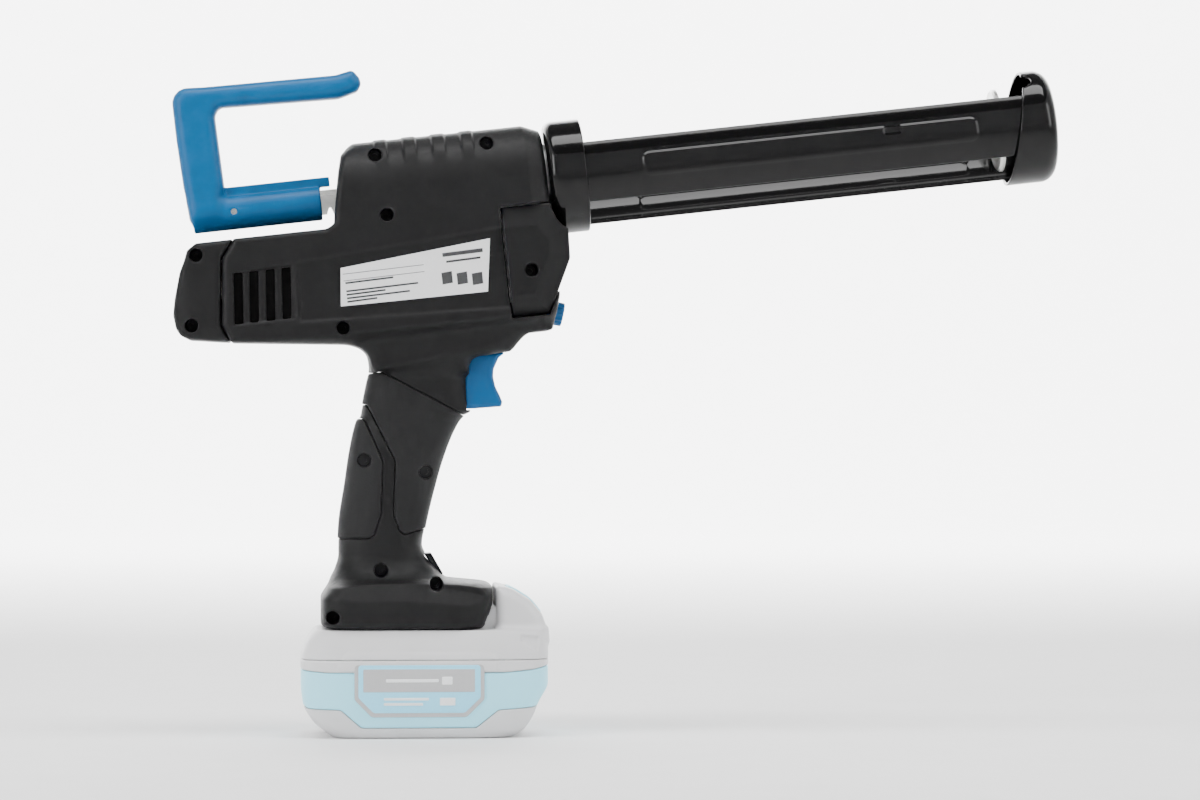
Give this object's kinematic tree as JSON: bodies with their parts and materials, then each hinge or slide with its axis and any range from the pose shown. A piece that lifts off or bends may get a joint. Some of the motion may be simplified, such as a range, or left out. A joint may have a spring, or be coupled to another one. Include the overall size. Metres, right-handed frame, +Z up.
{
  "type": "caulking gun",
  "caption": "Cordless caulking gun with a turning cartridge cradle, geared push rod, pull-back hook, pistol grip and slide-on battery pack.",
  "frame": {"origin": "centre of the battery pack's flat underside, which the tool stands on", "axes": "+X the way the nozzle points, +Z up; the barrel leans up from +X by 6.3 degrees"},
  "size_m": [0.4595, 0.0814, 0.3448],
  "materials": {
    "black_plastic": "fine moulded texture",
    "grip_rubber": "soft overmoulded rubber, matt",
    "blue_plastic": "satin moulded plastic",
    "black_paint": "gloss black enamel on pressed steel",
    "zinc_steel": "zinc plated steel",
    "gear_steel": "oiled machined steel",
    "cast_alloy": "die-cast alloy",
    "bronze": "sintered bronze bush",
    "nylon": "natural nylon",
    "screw_black": "blackened steel",
    "label_film": null,
    "smoked_lens": "smoked clear plastic",
    "board_green": "circuit board",
    "switch_black": "moulded switch body",
    "copper": "copper windings",
    "magnet": "ferrite magnet",
    "pack_grey": "satin moulded plastic, pale grey",
    "pack_blue": "satin moulded plastic, pale blue",
    "badge_pale": null,
    "cell_wrap": "cell in a plastic sleeve",
    "blue_paint": "blue enamel on die-cast alloy"
  },
  "bodies": {
    "housing": {"housing_right": "black_plastic", "housing_left": "black_plastic", "nose_cover_right": "black_plastic", "nose_cover_left": "black_plastic", "rear_cover_right": "black_plastic", "rear_cover_left": "black_plastic", "grip_front": "grip_rubber", "grip_rear": "grip_rubber", "housing_screws": "screw_black", "rating_label": "label_film", "work_light_lens": "smoked_lens", "work_light_board": "board_green", "trigger_switch": "switch_black", "dial_potentiometer": "board_green", "control_board": "board_green", "battery_terminals": "bronze", "gearbox_frame": "cast_alloy", "rod_guide_front": "nylon", "rod_guide_rear": "nylon", "barrel_hub": "cast_alloy", "barrel_retainer": "gear_steel", "shaft_bearings": "bronze", "ring_gear": "gear_steel", "gear_case": "cast_alloy", "motor_can": "gear_steel", "motor_magnets": "magnet", "motor_end_bell": "black_plastic"},
    "cradle": {"cradle_collar": "black_paint", "cradle_trough": "black_paint", "front_cap": "black_paint"},
    "rod": {"push_rod": "zinc_steel", "piston_plate": "zinc_steel", "piston_bolt": "screw_black", "rear_hook": "blue_paint", "hook_pin": "gear_steel"},
    "drive_gear": {"drive_gear": "gear_steel"},
    "cross_shaft": {"cross_shaft": "gear_steel"},
    "bevel_gear": {"bevel_gear": "gear_steel"},
    "output_carrier": {"output_carrier": "gear_steel"},
    "planet_2a": {"planet_2a": "gear_steel"},
    "planet_2b": {"planet_2b": "gear_steel"},
    "planet_2c": {"planet_2c": "gear_steel"},
    "first_carrier": {"first_carrier": "gear_steel"},
    "planet_1a": {"planet_1a": "gear_steel"},
    "planet_1b": {"planet_1b": "gear_steel"},
    "planet_1c": {"planet_1c": "gear_steel"},
    "armature": {"motor_armature": "copper", "cooling_fan": "nylon"},
    "trigger": {"trigger": "blue_plastic"},
    "dial": {"speed_dial": "blue_plastic"},
    "pack": {"pack_case_lower": "pack_grey", "pack_case_upper": "pack_grey", "pack_band": "pack_blue", "pack_badges": "badge_pale", "pack_cells": "cell_wrap", "pack_cell_holders": "nylon", "pack_board": "board_green", "pack_screws": "screw_black"},
    "pack_button": {"pack_button": "blue_plastic"}
  },
  "joints": [
    {"name": "rod_slide", "type": "slide", "parent": "housing", "child": "rod", "axis": [0.994, 0, 0.1097], "range_m": [-0.206, 0]},
    {"name": "cradle_turn", "type": "hinge", "parent": "housing", "child": "cradle", "pos_m": [0.083, 0, 0.2895], "axis": [0.994, 0, 0.1097], "continuous": true},
    {"name": "drive_gear_turn", "type": "hinge", "parent": "housing", "child": "drive_gear", "pos_m": [0.02337, 0, 0.26461], "axis": [0, 1, 0], "range_deg": [-880, 6]},
    {"name": "cross_shaft_turn", "type": "hinge", "parent": "housing", "child": "cross_shaft", "pos_m": [0.02601, 0, 0.24075], "axis": [0, 1, 0], "range_deg": [-8, 1132]},
    {"name": "motor_turn", "type": "hinge", "parent": "housing", "child": "armature", "pos_m": [-0.06146, 0, 0.23109], "axis": [0.994, 0, 0.1097], "continuous": true},
    {"name": "first_carrier_turn", "type": "hinge", "parent": "housing", "child": "first_carrier", "pos_m": [-0.01972, 0, 0.2357], "axis": [0.994, 0, 0.1097], "continuous": true},
    {"name": "planet_1a_turn", "type": "hinge", "parent": "first_carrier", "child": "planet_1a", "pos_m": [-0.02415, 0, 0.22571], "axis": [0.994, 0, 0.1097], "continuous": true},
    {"name": "planet_1b_turn", "type": "hinge", "parent": "first_carrier", "child": "planet_1b", "pos_m": [-0.0257, 0.00818, 0.2398], "axis": [0.994, 0, 0.1097], "continuous": true},
    {"name": "planet_1c_turn", "type": "hinge", "parent": "first_carrier", "child": "planet_1c", "pos_m": [-0.0257, -0.00818, 0.2398], "axis": [0.994, 0, 0.1097], "continuous": true},
    {"name": "output_carrier_turn", "type": "hinge", "parent": "housing", "child": "output_carrier", "pos_m": [-0.0058, 0, 0.23724], "axis": [0.994, 0, 0.1097], "continuous": true},
    {"name": "planet_2a_turn", "type": "hinge", "parent": "output_carrier", "child": "planet_2a", "pos_m": [-0.01023, 0, 0.22724], "axis": [0.994, 0, 0.1097], "continuous": true},
    {"name": "planet_2b_turn", "type": "hinge", "parent": "output_carrier", "child": "planet_2b", "pos_m": [-0.01179, 0.00818, 0.24133], "axis": [0.994, 0, 0.1097], "continuous": true},
    {"name": "planet_2c_turn", "type": "hinge", "parent": "output_carrier", "child": "planet_2c", "pos_m": [-0.01179, -0.00818, 0.24133], "axis": [0.994, 0, 0.1097], "continuous": true},
    {"name": "bevel_gear_turn", "type": "hinge", "parent": "housing", "child": "bevel_gear", "pos_m": [0.02601, 0.008, 0.24075], "axis": [0, 1, 0], "continuous": true},
    {"name": "trigger_pull", "type": "slide", "parent": "housing", "child": "trigger", "axis": [-1, 0, 0], "range_m": [0, 0.006], "stiffness_N_per_m": 1200, "springref_m": -0.003},
    {"name": "dial_turn", "type": "hinge", "parent": "housing", "child": "dial", "pos_m": [0.06832, 0, 0.21745], "axis": [0.9792, 0, -0.2028], "range_deg": [0, 270]},
    {"name": "pack_slide", "type": "slide", "parent": "housing", "child": "pack", "axis": [1, 0, 0], "range_m": [0, 0.075]},
    {"name": "button_press", "type": "slide", "parent": "pack", "child": "pack_button", "axis": [-0.7071, 0, -0.7071], "range_m": [0, 0.003], "stiffness_N_per_m": 1000, "springref_m": -0.001}
  ],
  "couplings": [
    {"joint": "drive_gear_turn", "follows": "rod_slide", "rad_per_m": 74.074},
    {"joint": "cross_shaft_turn", "follows": "rod_slide", "rad_per_m": -95.238},
    {"joint": "first_carrier_turn", "follows": "motor_turn", "ratio": 0.22222},
    {"joint": "output_carrier_turn", "follows": "motor_turn", "ratio": 0.049383},
    {"joint": "bevel_gear_turn", "follows": "motor_turn", "ratio": 0.024691},
    {"joint": "planet_1a_turn", "follows": "motor_turn", "ratio": -0.62222},
    {"joint": "planet_2a_turn", "follows": "motor_turn", "ratio": -0.13827},
    {"joint": "planet_1b_turn", "follows": "motor_turn", "ratio": -0.62222},
    {"joint": "planet_2b_turn", "follows": "motor_turn", "ratio": -0.13827},
    {"joint": "planet_1c_turn", "follows": "motor_turn", "ratio": -0.62222},
    {"joint": "planet_2c_turn", "follows": "motor_turn", "ratio": -0.13827}
  ]
}
